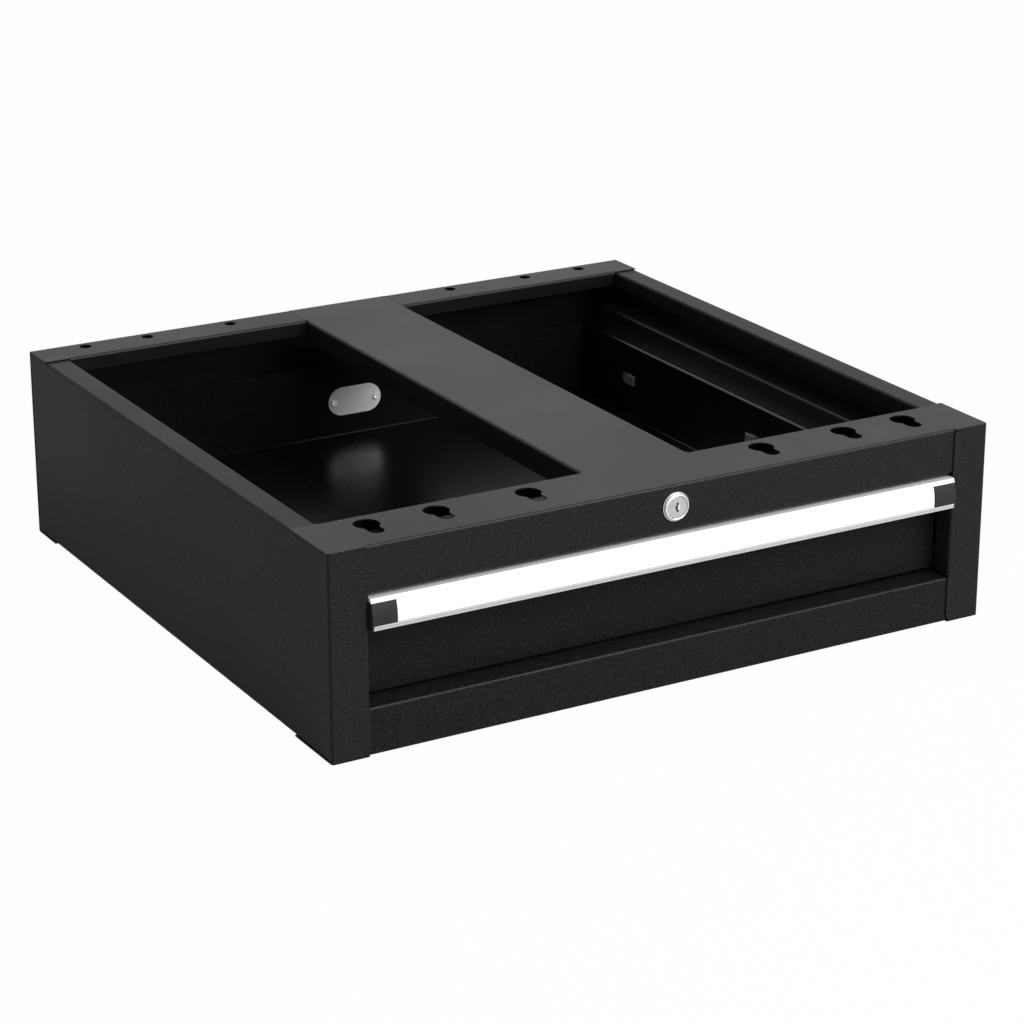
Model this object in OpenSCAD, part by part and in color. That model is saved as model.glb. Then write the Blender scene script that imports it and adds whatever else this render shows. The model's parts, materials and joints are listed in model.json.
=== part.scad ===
// Single-drawer housing of folded steel that hangs under a bench top or stands on its own base.
// Lengths are in millimetres. X runs across the drawer, the drawer opens towards -Y, and Z is up.
// The origin is the centre of the footprint, handle included, on the level of the base.

/* [Casing] */
// Width over the side panels
case_w = 573; // [520:1:680]
// Depth from the front posts to the back panel
case_d = 550; // [500:1:650]
// Height of the casing
case_h = 160; // [150:1:220]
// Thickness of the casing sheet
sheet_t = 1.2; // [0.8:0.1:1.5]
// Inside radius of every fold
bend_r = 1; // [0.5:0.1:1.5]
// Width of each front post
post_w = 31; // [26:0.5:40]
// Radius of the inner corners of a front post
post_corner_r = 4.5; // [2:0.5:8]
// Height of the rail above the drawer
top_rail_h = 36.5; // [34:0.5:50]
// Height of the rail below the drawer
bottom_rail_h = 37; // [25:0.5:45]
// Depth of the bottom rail's upper flange
shelf_d = 32; // [28:0.5:45]
// Depth of the front flange at the top and at the base
front_flange_d = 59; // [55:1:75]
// Depth of the back flange at the top and at the base
back_flange_d = 36; // [28:1:50]
// Width of the side flange at the top and at the base
side_flange_w = 21.2; // [16:0.2:28]
// Width of the strip that runs from the front rail to the back panel
strip_w = 94; // [60:1:140]
// Height of the lips that stiffen the flanges
lip_h = 12.5; // [8:0.5:16]
// Height of the lips of the centre strip
strip_lip_h = 20; // [10:0.5:30]
// Width of the folded rear edge of a side panel
rear_return_w = 16; // [10:1:25]
// Gap between sheets that end beside each other
sheet_gap = 0.5; // [0.3:0.1:0.8]
// Distance from the posts' inside to the front ends of the side flanges
flange_setback = 2.8; // [2.4:0.1:6]
// Gap between a post's folded edge and the rails above and below
post_return_gap = 1.5; // [1:0.1:3]
// Distance that the rails' folds reach behind the posts
fold_lap = 0.8; // [0.5:0.1:1]
// Depth of the posts' folded inner edges and of the top rail's lower fold
post_return_d = 18; // [12:0.5:18]
// Height of the stop tongue on each post's inner edge
tongue_h = 7; // [4:0.5:10]
// Distance from the bottom rail up to the stop tongue
tongue_rise = 14.5; // [8:0.5:30]
// Depth of the stop tongue
tongue_l = 3; // [1:0.5:3]

/* [Mounting holes] */
// Diameter of the round entry of a keyhole
keyhole_d = 20; // [14:0.5:24]
// Width of a keyhole's slot
keyhole_slot_w = 12; // [8:0.5:13]
// Distance from a keyhole's entry centre to the centre of its slot's end
keyhole_slot_l = 15; // [8:0.5:16]
// Distance from the front to the keyholes' entry centres
keyhole_inset = 41; // [38:0.5:44]
// Distance from the middle to the inner keyholes
keyhole_x_inner = 102.4; // [80:0.2:120]
// Distance from the middle to the intermediate keyholes
keyhole_x_middle = 178.6; // [150:0.2:190]
// Distance from the middle to the outer keyholes
keyhole_x_outer = 235; // [215:0.2:236]
// Diameter of the round holes in the back flange
rear_hole_d = 10; // [6:0.5:12]
// Distance from the back to the centres of the round holes
rear_hole_inset = 11; // [9:0.5:18]
// Distance from the middle to the inner round holes
rear_hole_x_inner = 107.7; // [80:0.1:130]
// Distance from the middle to the intermediate round holes
rear_hole_x_middle = 184.5; // [150:0.1:200]
// Distance from the middle to the outer round holes
rear_hole_x_outer = 241; // [220:0.1:243]

/* [Drawer] */
// Thickness of the drawer sheet
drawer_t = 1; // [0.8:0.1:1.5]
// Depth from the posts to the drawer front
front_recess = 20; // [16:0.5:24]
// Gap between the drawer front and the posts
front_side_gap = 1; // [0.8:0.1:2]
// Gap between the drawer front and the rails above and below
front_rail_gap = 2; // [1:0.1:3]
// Depth of the drawer front's top fold
front_top_fold = 16; // [13:0.5:20]
// Depth of the drawer front's bottom fold
front_bottom_fold = 12; // [8:0.5:16]
// Height of the lip on the drawer front's top fold
front_fold_lip = 10; // [6:0.5:14]
// Height of the tray's underside above the drawer front's bottom edge
tray_raise = 9.3; // [5:0.1:14]
// Distance from the drawer front's ends to the ends of its folds
front_fold_inset = 2; // [1:0.1:4]
// Distance from the drawer front's top edge down to the tray's rim
rim_drop = 6.5; // [4:0.1:10]
// Width of the tray's rim
rim_w = 7; // [5:0.2:9]
// Height of the rim's turned-down lip
rim_lip = 5; // [3.5:0.1:7]
// Width of the flanges that join the tray to its front and back walls
tray_join_w = 12; // [8:0.5:16]
// Width of the catch tab on the drawer's back wall
tab_w = 21; // [14:0.5:30]
// Depth of the catch tab
tab_l = 7; // [4:0.5:12]
// Distance from the middle to the catch tab's centre
tab_x = 33; // [20:0.5:60]

/* [Cable port] */
// Width of the port's cover plate
plate_w = 52; // [44:0.5:64]
// Height of the port's cover plate
plate_h = 27.5; // [24:0.5:34]
// Thickness of the port's cover plate
plate_t = 1.5; // [1:0.1:2]
// Height of the plate's centre above the tray's underside
plate_rise = 32; // [26:0.5:38]
// Distance between the plate's screws
plate_screw_pitch = 41; // [36:0.5:44]
// Diameter of the plate's screws
plate_screw_d = 3; // [2.5:0.1:3.5]
// Length of the plate's screws under the head
plate_screw_l = 6.5; // [4:0.5:10]
// Width of the port
port_w = 28; // [20:0.5:30]
// Height of the port
port_h = 16; // [10:0.5:18]

/* [Runners] */
// Thickness of a runner from the tray to its bracket
runner_w = 19; // [18:0.5:22]
// Height of a runner
runner_h = 46; // [44:0.5:48]
// Height of the runners' centre line above the tray's underside
runner_rise = 35.2; // [32:0.2:36]
// Free depth behind the runners
runner_rear_space = 28.5; // [26:0.5:60]
// Gap between the drawer front and the runners' front ends
runner_front_gap = 0.5; // [0.4:0.1:2]
// Thickness of the webs of the rails
rail_t = 1.8; // [1.5:0.1:1.9]
// Thickness of the flanges of the rails
rail_flange_t = 2; // [1.9:0.1:2.2]
// Thickness of the sheet of a ball cage
cage_t = 0.8; // [0.6:0.1:0.8]
// Gap between the nested webs of the rails and cages
web_gap = 0.4; // [0.35:0.05:0.45]
// Diameter of the bearing balls
ball_d = 4.8; // [4.4:0.1:5]
// Radial clearance of the balls in their grooves
ball_clearance = 0.08; // [0.05:0.01:0.1]
// Depth of a ball groove
groove_depth = 0.7; // [0.5:0.05:0.8]
// Number of balls in one row
row_balls = 8; // [4:1:10]
// Distance that each ball cage keeps from the end of its travel
cage_margin = 10; // [5:1:20]
// Length of the buffer at the rear end of a runner
buffer_l = 4; // [2:0.5:8]
// Inset of the bracket's face from the post's inner edge
bracket_inset = 1.5; // [1:0.1:3]
// Height of a bracket
bracket_h = 83; // [70:1:86]
// Height of a bracket's top above the runner's centre line
bracket_rise = 44.7; // [38:0.1:46]
// Height of the bracket's welding lips
bracket_lip = 14; // [8:0.5:20]
// Depth from the runner's front end to its first screw
rail_screw_first = 37; // [30:0.5:45]
// Distance between a runner's screws
rail_screw_pitch = 192; // [160:1:200]
// Diameter of the runner screws
rail_screw_d = 4; // [3:0.5:5]
// Distance that the runner screws reach beyond the bracket's sheet
rail_screw_tip = 4; // [2:0.5:8]
// Distance that the tray screws reach beyond the inner rail's web
tray_screw_tip = 2; // [1:0.5:3]
// Depth from the front to the first hook of the tray's rails
hook_first = 241; // [200:1:260]
// Distance between the hooks
hook_pitch = 200; // [160:1:220]
// Thickness of a hook's plate
hook_t = 1.5; // [1:0.1:2]
// Play of a hook at each long side of its slot
hook_play = 0.9; // [0.5:0.1:1.5]
// Gap between a hook's plate and the tray's wall
hook_gap = 0.1; // [0.05:0.05:0.3]
// Distance that a hook's plate reaches past the end of its slot
hook_lap = 1.5; // [1:0.5:4]
// Length of the slots for the hooks in the tray's walls
hook_slot_l = 20; // [16:0.5:24]
// Height of the slots for the hooks
hook_slot_h = 10; // [8:0.5:12]

/* [Handle] */
// Height of the handle profile
handle_h = 24.4; // [23:0.1:26]
// Gap between the handle's top and the top rail's lower edge
handle_drop = 2.4; // [1.5:0.1:4]
// Radius of the handle's upper front edge
handle_round = 1.8; // [1:0.1:2]
// Distance that the handle stands out from the posts
handle_proud = 5.4; // [4:0.1:8]
// Radius of the handle's curved face
handle_face_r = 38; // [34:0.5:60]
// Height of the face's foremost line above the handle's lower edge
handle_peak = 7.8; // [6:0.1:12]
// Thickness of the handle's wall behind the label
handle_wall = 1.6; // [1.2:0.1:2.5]
// Depth of the label channel
channel_depth = 2; // [1.6:0.1:2.6]
// Height of the label channel
label_h = 16.8; // [12:0.2:18]
// Height of the handle's lower lip
lower_lip_h = 3.7; // [2.5:0.1:5]
// Thickness of the handle's web and fixing flange
handle_flange_t = 2; // [1.5:0.1:2.5]
// Height of the handle's fixing flange
handle_flange_h = 19; // [14:0.5:20]
// Gap between the handle's ends and the posts
handle_end_gap = 0.5; // [0.4:0.1:1.5]
// Width of the handle's end caps
cap_w = 20; // [12:0.5:30]
// Thickness of the end caps' outer plates
cap_plate = 1; // [0.6:0.1:2]
// Depth of the handle's end caps
cap_depth = 5; // [4:0.1:6]
// Depth of the end caps' outer plates
cap_plate_d = 10; // [7:0.5:12]
// Thickness of the label strip
label_t = 1.4; // [0.8:0.1:1.5]
// Gap around the label strip
trim_gap = 0.1; // [0.05:0.05:0.3]
// Distance from the middle to the inner handle screws
handle_screw_inner = 70; // [50:1:90]
// Distance from the handle's ends to the outer handle screws
handle_screw_inset = 50; // [45:1:80]
// Diameter of the handle screws
handle_screw_d = 4; // [3:0.5:5]

/* [Lock] */
// Distance from the casing's top to the lock's axis
lock_drop = 17; // [15:0.5:20]
// Diameter of the lock's bezel
bezel_d = 23; // [21:0.5:26]
// Distance that the bezel stands out from the rail
bezel_h = 3; // [2:0.1:4]
// Width of the bezel's raised rim
bezel_rim = 3.2; // [2.5:0.1:4]
// Depth of the lock's face behind the rim
face_recess = 0.6; // [0.3:0.1:1]
// Diameter of the lock's threaded barrel
barrel_d = 18.8; // [17:0.1:19.5]
// Diameter of the turning plug
plug_d = 13; // [11:0.1:14]
// Radial running clearance of the plug
plug_clearance = 0.06; // [0.03:0.01:0.1]
// Width of the lock nut over its flats
nut_af = 24; // [22.5:0.5:25]
// Thickness of the lock nut
nut_h = 4; // [3:0.5:6]
// Thickness of the cam
cam_t = 2; // [1.5:0.1:2.5]
// Width of the cam
cam_w = 16; // [12:0.5:18]
// Depth that the cam reaches behind the drawer front when it is locked
cam_catch = 9.5; // [6:0.5:12]
// Gap between the cam and the sheet around its slot
cam_gap = 1.3; // [0.8:0.1:2]
// Size of the plug's square end
drive_square = 7; // [5:0.1:8]
// Width of the key slot
key_slot_w = 2.6; // [1.6:0.1:3]
// Height of the key slot
key_slot_h = 7.2; // [6:0.1:9]
// Depth of the key slot
key_slot_depth = 8; // [4:0.5:12]
// Distance that the barrel reaches behind the drawer front
barrel_tail = 1; // [0.5:0.1:3]
// Gap between the barrel and the cam
cam_seat_gap = 0.3; // [0.2:0.1:0.5]
// Diameter of the cam screw
cam_screw_d = 4; // [3:0.5:5]
// Length of the cam screw under the head
cam_screw_l = 9; // [6:0.5:12]
// Width of the cam screw's head over its flats
cam_screw_af = 8.6; // [7:0.1:10]
// Height of the cam screw's head
cam_screw_h = 3; // [2:0.5:4]
// Radial gap around the lock's barrel
barrel_gap = 0.2; // [0.1:0.05:0.4]

/* [Screws] */
// Diameter of a pan head
pan_head_d = 7.2; // [6:0.1:8]
// Height of a pan head
pan_head_h = 2; // [1.5:0.1:2.6]
// Diameter of the small pan heads on the port's plate
small_head_d = 5.2; // [4.6:0.1:6]
// Height of the small pan heads
small_head_h = 1.4; // [1:0.1:2]
// Width of the cross recess in a head
recess_w = 0.8; // [0.6:0.1:1]
// Share of the head's diameter that the cross recess spans
recess_span = 0.66; // [0.5:0.02:0.75]
// Radial gap around a screw in its hole
screw_gap = 0.1; // [0.05:0.05:0.2]

/* [Hidden] */

$fn = 96;
fold_steps = 6;
ball_facets = 32;
face_facets = 240;
hex_sides = 6;
eps = 0.01;
cut = 1;
coat = "#262627";
drawer_coat = "#202021";
zinc = "#b9bcc0";
chrome = "#d3d5d8";

// Places of the casing, measured from its front face
half_w = case_w / 2;
front_y = -(case_d - handle_proud) / 2;
post_in = half_w - post_w;
fold_out = bend_r + sheet_t;
opening_top = case_h - top_rail_h;
flange_in = half_w - side_flange_w;
inner_top = case_h - sheet_t;
rail_face = sheet_t;
rail_back = 2 * sheet_t;
rail_end = half_w - fold_out - 2 * sheet_gap;
rail_fold_end = post_in + fold_lap;
side_flange_start = sheet_t + flange_setback;
side_rear = case_d - sheet_t;
strip_half = strip_w / 2;
back_flange_front = case_d - back_flange_d;

// Places of the drawer and its runners
front_half = post_in - front_side_gap;
front_bottom_z = bottom_rail_h + front_rail_gap;
front_top_z = opening_top - front_rail_gap;
front_back = front_recess + drawer_t;
tray_bottom_z = front_bottom_z + tray_raise;
tray_top_z = front_top_z - rim_drop;
bracket_face = post_in - bracket_inset;
tray_half = bracket_face - runner_w;
runner_start = front_back + runner_front_gap;
runner_l = case_d - runner_start - runner_rear_space;
runner_end = runner_start + runner_l;
runner_z = tray_bottom_z + runner_rise;
tray_rear = runner_end - runner_front_gap;
back_wall_face = tray_rear - 2 * drawer_t;
plate_z = tray_bottom_z + plate_rise;
plate_face = back_wall_face - plate_t;
plate_hole_r = plate_screw_d / 2 + screw_gap / 2;
moving_rail_l = runner_l - buffer_l - runner_front_gap;
bracket_top_z = runner_z + bracket_rise;
bracket_bottom_z = bracket_top_z - bracket_h;

// Heights in a runner's section, measured from its centre line
groove_r = ball_d / 2 + ball_clearance;
flange_gap = 2 * (groove_r - groove_depth);
outer_inside = runner_h / 2 - rail_flange_t;
outer_row_z = outer_inside - flange_gap / 2;
middle_outside = outer_inside - flange_gap;
middle_inside = middle_outside - rail_flange_t;
inner_row_z = middle_inside - flange_gap / 2;
inner_outside = middle_inside - flange_gap;
outer_web = bracket_face - rail_t;
outer_cage_web = outer_web - web_gap - cage_t;
middle_web = outer_cage_web - web_gap - rail_t;
inner_cage_web = middle_web - web_gap - cage_t;
inner_tip = inner_cage_web - 1.5 * web_gap;
outer_tip = tray_half + 4;
middle_tip = outer_tip + 0.3;
outer_ball_x = (outer_tip + outer_web) / 2;
inner_ball_x = (middle_tip + inner_tip) / 2;
cage_l = runner_l / 2 - 2 * cage_margin;
cage_start = runner_start + runner_l / 4 + cage_margin;
ball_hole_r = ball_d / 2 + screw_gap;
rail_hole_r = rail_screw_d / 2 + screw_gap / 2;
countersink = rail_t - 0.2;
ball_pitch = cage_l / row_balls;

// Places of the handle and of the lock
handle_half = post_in - handle_end_gap;
handle_top_z = opening_top - handle_drop;
handle_bottom_z = handle_top_z - handle_h;
face_centre_d = handle_face_r - handle_proud;
face_centre_z = handle_bottom_z + handle_peak;
label_z = handle_bottom_z + lower_lip_h;
label_top_z = label_z + label_h;
channel_r = handle_face_r - channel_depth;
handle_back_r = channel_r - handle_wall;
handle_screw_z = handle_top_z - (handle_flange_h + handle_flange_t) / 2;
handle_screw_xs = [handle_screw_inner, handle_half - handle_screw_inset];
round_z = handle_top_z - handle_round;
round_d = face_centre_d - sqrt(pow(handle_face_r - handle_round, 2) - pow(round_z - face_centre_z, 2));
round_a = 90 + acos((round_z - face_centre_z) / (handle_face_r - handle_round));
lock_z = case_h - lock_drop;
barrel_end = front_back + barrel_tail;
cam_start = barrel_end + cam_seat_gap;
cam_l = lock_z - front_top_z + cam_catch;

// The sign of each side: -1 is left and 1 is right
sides = [-1, 1];
keyhole_xs = [keyhole_x_inner, keyhole_x_middle, keyhole_x_outer];
rear_hole_xs = [rear_hole_x_inner, rear_hole_x_middle, rear_hole_x_outer];

// Folded sheet: a path along the sheet's middle, with a round fold at each inner point
function unit(v) = v / norm(v);
function left_of(v) = [-v[1], v[0]];
function fold_edge(a, b, c, t, side) =
    let (u = unit(b - a), v = unit(c - b))
    let (turn = sign(u[0] * v[1] - u[1] * v[0]), mid_r = bend_r + t / 2)
    let (start = b - u * mid_r, centre = start + turn * mid_r * left_of(u))
    let (edge_r = mid_r - turn * side * t / 2, arm = start - centre)
    let (from = atan2(arm[1], arm[0]), step = turn * 90 / fold_steps)
    [for (k = [0 : fold_steps]) centre + edge_r * [cos(from + k * step), sin(from + k * step)]];
function sheet_edge(path, t, side) =
    let (n = len(path) - 1, reach = side * t / 2)
    [
        path[0] + reach * left_of(unit(path[1] - path[0])),
        for (i = [1 : 1 : n - 1]) each fold_edge(path[i - 1], path[i], path[i + 1], t, side),
        path[n] + reach * left_of(unit(path[n] - path[n - 1]))
    ];
function reversed(list) = [for (i = [len(list) - 1 : -1 : 0]) list[i]];

module sheet(path, t = sheet_t) {
    polygon(concat(sheet_edge(path, t, 1), reversed(sheet_edge(path, t, -1))));
}

// What a round edge of radius r leaves off a corner, between two angles about its centre
function on_arc(centre, r, from, to, k) =
    let (a = from + (to - from) * k / fold_steps)
    centre + r * [cos(a), sin(a)];
module round_off(centre, r, from, to) {
    polygon(concat(
        [for (k = [0 : fold_steps]) on_arc(centre, r, from, to, k)],
        [for (k = [fold_steps : -1 : 0]) on_arc(centre, 2 * r, from, to, k)]));
}

// A section drawn in depth and height, drawn out along X
module along_x(from, to) {
    translate([from, 0, 0])
        rotate([90, 0, 90])
            linear_extrude(to - from)
                children();
}

// A section drawn in width and height, drawn out along the depth
module along_y(from, to) {
    translate([0, to, 0])
        rotate([90, 0, 0])
            linear_extrude(to - from)
                children();
}

// The corner that a front flange leaves off above or below a post's fold
module flange_corner(z) {
    along_z(z - cut, z + sheet_t + cut)
        round_off([half_w - fold_out, fold_out], fold_out, -90, 0);
}

// A section drawn in width and depth, drawn out along Z
module along_z(from, to) {
    translate([0, 0, from])
        linear_extrude(to - from)
            children();
}

// A box from its lowest corner to its highest corner
module span(low, high) {
    translate(low)
        cube(high - low);
}

// A round bar or bore along the depth
module rod_y(r, from, to, x, z) {
    translate([x, to, z])
        rotate([90, 0, 0])
            cylinder(r = r, h = to - from);
}

// A round bar or bore along X
module rod_x(r, from, to, d, z) {
    translate([from, d, z])
        rotate([0, 90, 0])
            cylinder(r = r, h = to - from);
}

// Moves a piece from the casing's front face to the part's origin
module placed() {
    translate([0, front_y, 0])
        children();
}

// A piece drawn for the right side, mirrored when side is -1
module on_side(side) {
    mirror([side < 0 ? 1 : 0, 0, 0])
        children();
}

// Rounds the inner corner of a post where it meets a rail
module post_corner_cut(z, up) {
    along_y(-eps, sheet_t + eps)
        translate([post_in, z])
            scale([1, up])
                difference() {
                    translate([-eps, -post_corner_r])
                        square([post_corner_r + eps, post_corner_r + 1]);
                    translate([post_corner_r, -post_corner_r])
                        circle(post_corner_r);
                }
}

module side_panel(side) {
    mid = sheet_t / 2;
    lip_x = flange_in + mid;
    wall_x = half_w - mid;
    return_x = post_in + mid;
    rear_start = side_rear - fold_out;
    return_low = bottom_rail_h + post_return_gap;
    return_high = opening_top - post_return_gap;
    tongue_z = bottom_rail_h + tongue_rise;
    color(coat)
        placed()
            on_side(side) {
                along_y(side_flange_start, rear_start)
                    sheet([
                        [lip_x, inner_top - lip_h],
                        [lip_x, inner_top - mid],
                        [wall_x, inner_top - mid],
                        [wall_x, sheet_t + mid],
                        [lip_x, sheet_t + mid],
                        [lip_x, sheet_t + lip_h]
                    ]);
                difference() {
                    union() {
                        along_z(sheet_t, inner_top)
                            sheet([
                                [post_in + fold_out, mid],
                                [wall_x, mid],
                                [wall_x, side_flange_start + 1]
                            ]);
                        for (z = [sheet_t, return_high])
                            span([post_in, 0, z],
                                 [post_in + fold_out, sheet_t, z == sheet_t ? return_low : inner_top]);
                    }
                    post_corner_cut(inner_top, 1);
                    post_corner_cut(sheet_t, -1);
                }
                along_z(return_low, return_high)
                    sheet([
                        [return_x, post_return_d],
                        [return_x, mid],
                        [post_in + fold_out + 1, mid]
                    ]);
                span([post_in, post_return_d - eps, tongue_z],
                     [post_in + sheet_t, post_return_d + tongue_l, tongue_z + tongue_h]);
                along_z(sheet_t + lip_h, inner_top - lip_h)
                    sheet([
                        [wall_x, rear_start - 1],
                        [wall_x, side_rear - mid],
                        [half_w - rear_return_w, side_rear - mid]
                    ]);
                for (z = [sheet_t + bend_r, inner_top - lip_h - bend_r])
                    span([half_w - sheet_t, rear_start - eps, z], [half_w, side_rear, z + lip_h]);
            }
}

// One keyhole with its slot towards the front
module keyhole(x) {
    slot_r = keyhole_slot_w / 2;
    low = inner_top - cut;
    translate([x, keyhole_inset, low])
        cylinder(r = keyhole_d / 2, h = sheet_t + 2 * cut);
    translate([x, keyhole_inset - keyhole_slot_l, low])
        cylinder(r = slot_r, h = sheet_t + 2 * cut);
    span([x - slot_r, keyhole_inset - keyhole_slot_l, low],
         [x + slot_r, keyhole_inset, case_h + cut]);
}

module front_frame() {
    mid = sheet_t / 2;
    top = case_h - mid;
    lip_d = front_flange_d - mid;
    lip_from = strip_half + sheet_gap;
    lip_to = flange_in - sheet_gap;
    strip_from = front_flange_d + sheet_gap;
    strip_to = back_flange_front - sheet_gap;
    color(coat)
        placed()
            difference() {
                union() {
                    along_x(-rail_fold_end, rail_fold_end)
                        sheet([
                            [post_return_d, opening_top + mid],
                            [rail_face + mid, opening_top + mid],
                            [rail_face + mid, top],
                            [front_flange_d - fold_out, top]
                        ]);
                    for (side = sides)
                        on_side(side) {
                            span([rail_fold_end - eps, 0, inner_top],
                                 [half_w, front_flange_d - fold_out + eps, case_h]);
                            span([rail_fold_end - eps, rail_face, opening_top + fold_out],
                                 [rail_end, rail_back, inner_top - fold_out]);
                            along_x(lip_from, lip_to)
                                sheet([
                                    [front_flange_d - fold_out - 1, top],
                                    [lip_d, top],
                                    [lip_d, case_h - lip_h]
                                ]);
                            span([lip_to - eps, front_flange_d - fold_out, inner_top],
                                 [half_w, front_flange_d, case_h]);
                        }
                    along_y(strip_from, strip_to)
                        sheet([
                            [mid - strip_half, case_h - strip_lip_h],
                            [mid - strip_half, top],
                            [strip_half - mid, top],
                            [strip_half - mid, case_h - strip_lip_h]
                        ]);
                    span([-strip_half, front_flange_d - fold_out - 1, inner_top],
                         [strip_half, strip_from + eps, case_h]);
                    span([-strip_half, strip_to - eps, inner_top],
                         [strip_half, case_d - sheet_t, case_h]);
                }
                for (side = sides)
                    for (x = keyhole_xs)
                        keyhole(side * x);
                for (side = sides)
                    on_side(side)
                        flange_corner(inner_top);
                rod_y(barrel_d / 2 + barrel_gap, 0, rail_back + cut, 0, lock_z);
            }
}

// One length of the back panel, with its top fold at the given height
module back_length(from, to, top_z, lip) {
    mid = sheet_t / 2;
    back = case_d - mid;
    edge = back_flange_front + mid;
    top = [edge, top_z - mid];
    base = [edge, mid];
    along_x(from, to)
        sheet(concat(
            lip ? [[edge, top_z - lip_h]] : [],
            [lip ? top : top - [mid, 0]],
            [[back, top_z - mid]],
            [[back, mid]],
            [lip ? base : base - [mid, 0]],
            lip ? [[edge, lip_h]] : []
        ));
}

module back_panel() {
    lip_end = flange_in - sheet_gap;
    notch = strip_half + sheet_gap;
    color(coat)
        placed()
            difference() {
                union() {
                    back_length(-notch, notch, inner_top, true);
                    for (side = sides)
                        on_side(side) {
                            back_length(notch - eps, lip_end, case_h, true);
                            back_length(lip_end - eps, half_w, case_h, false);
                        }
                }
                for (side = sides)
                    for (x = rear_hole_xs)
                        translate([side * x, case_d - rear_hole_inset, inner_top - cut])
                            cylinder(r = rear_hole_d / 2, h = sheet_t + 2 * cut);
            }
}

module bottom_rail() {
    mid = sheet_t / 2;
    lip_d = front_flange_d - mid;
    lip_to = flange_in - sheet_gap;
    color(coat)
        placed()
            difference() {
                bottom_rail_sheet(mid, lip_d, lip_to);
                for (side = sides)
                    on_side(side)
                        flange_corner(0);
            }
}

module bottom_rail_sheet(mid, lip_d, lip_to) {
    union() {
            along_x(-rail_fold_end, rail_fold_end)
                sheet([
                    [shelf_d, bottom_rail_h - mid],
                    [rail_face + mid, bottom_rail_h - mid],
                    [rail_face + mid, mid],
                    [front_flange_d - fold_out, mid]
                ]);
            along_x(-lip_to, lip_to)
                sheet([
                    [front_flange_d - fold_out - 1, mid],
                    [lip_d, mid],
                    [lip_d, lip_h]
                ]);
            for (side = sides)
                on_side(side) {
                    span([rail_fold_end - eps, 0, 0],
                         [half_w, front_flange_d - fold_out + eps, sheet_t]);
                    span([lip_to - eps, front_flange_d - fold_out, 0],
                         [half_w, front_flange_d, sheet_t]);
                    span([rail_fold_end - eps, rail_face, fold_out],
                         [rail_end, rail_back, bottom_rail_h - fold_out]);
                }
        }
}

// Depths of the runner's screws, from the front face
function rail_screw_depths() =
    [for (k = [0 : 2]) runner_start + rail_screw_first + k * rail_screw_pitch];
// Depths of the hooks of the tray's rails
function hook_depths() = [for (k = [0 : 1]) hook_first + k * hook_pitch];

module runner_bracket(side) {
    mid = sheet_t / 2;
    weld_x = half_w - sheet_t - mid;
    face_x = bracket_face + mid;
    color(coat)
        placed()
            on_side(side)
                difference() {
                    along_y(runner_start, runner_end)
                        sheet([
                            [weld_x, bracket_top_z - bracket_lip],
                            [weld_x, bracket_top_z - mid],
                            [face_x, bracket_top_z - mid],
                            [face_x, bracket_bottom_z + mid],
                            [weld_x, bracket_bottom_z + mid],
                            [weld_x, bracket_bottom_z + bracket_lip]
                        ]);
                    for (d = rail_screw_depths())
                        rod_x(rail_hole_r, bracket_face - cut, face_x + cut, d, runner_z);
                }
}

// The pair of ball grooves above and below the runner's centre line
module groove_pair(x, row_z) {
    for (up = sides)
        translate([x, up * row_z])
            circle(groove_r);
}

// Section of a channel: the web lies between back and face, the flanges end at tip
module channel(back, face, tip, height, flange_t) {
    inside = height - flange_t;
    polygon([
        [tip, height],
        [back, height],
        [back, -height],
        [tip, -height],
        [tip, -inside],
        [face, -inside],
        [face, inside],
        [tip, inside]
    ]);
}

// Cone of a countersunk screw in a runner's web
module rail_screw_cone(d, r) {
    translate([outer_web, d, runner_z])
        rotate([0, 90, 0])
            cylinder(r1 = r + countersink, r2 = r, h = countersink);
}

module outer_rail(side) {
    color(zinc)
        placed()
            on_side(side)
                difference() {
                    along_y(runner_start, runner_end)
                        translate([0, runner_z])
                            difference() {
                                channel(bracket_face, outer_web, outer_tip, runner_h / 2,
                                        rail_flange_t);
                                groove_pair(outer_ball_x, outer_row_z);
                            }
                    for (d = rail_screw_depths()) {
                        rail_screw_cone(d, rail_hole_r);
                        rod_x(rail_hole_r, outer_web - cut, bracket_face + cut, d, runner_z);
                    }
                }
}

module middle_rail(side) {
    color(zinc)
        placed()
            on_side(side)
                along_y(runner_start, runner_start + moving_rail_l)
                    translate([0, runner_z])
                        difference() {
                            channel(middle_web + rail_t, middle_web, middle_tip, middle_outside,
                                    rail_flange_t);
                            groove_pair(outer_ball_x, outer_row_z);
                            groove_pair(inner_ball_x, inner_row_z);
                        }
}

// A hook of the inner rail: a neck through the tray's slot and a plate inside the wall
module hook(d, towards) {
    neck = hook_slot_h / 2 - hook_play;
    neck_end = (hook_slot_l - hook_slot_h) / 2 + hook_play;
    plate_x = tray_half - drawer_t - hook_gap;
    translate([0, d, runner_z])
        mirror([0, towards < 0 ? 1 : 0, 0]) {
            span([plate_x - eps, 0, -neck], [tray_half + eps, neck_end, neck]);
            span([plate_x - hook_t, 0, -neck], [plate_x, hook_slot_l / 2 + hook_lap, neck]);
        }
}

module inner_rail(side) {
    screw_d = rail_screw_depths()[0];
    color(zinc)
        placed()
            on_side(side) {
                difference() {
                    along_y(runner_start, runner_start + moving_rail_l)
                        translate([0, runner_z])
                            difference() {
                                channel(tray_half, tray_half + rail_t, inner_tip, inner_outside,
                                        rail_flange_t);
                                groove_pair(inner_ball_x, inner_row_z);
                            }
                    rod_x(rail_hole_r, tray_half - cut, tray_half + rail_t + cut, screw_d, runner_z);
                }
                hook(hook_depths()[0], 1);
                hook(hook_depths()[1], -1);
            }
}

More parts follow.
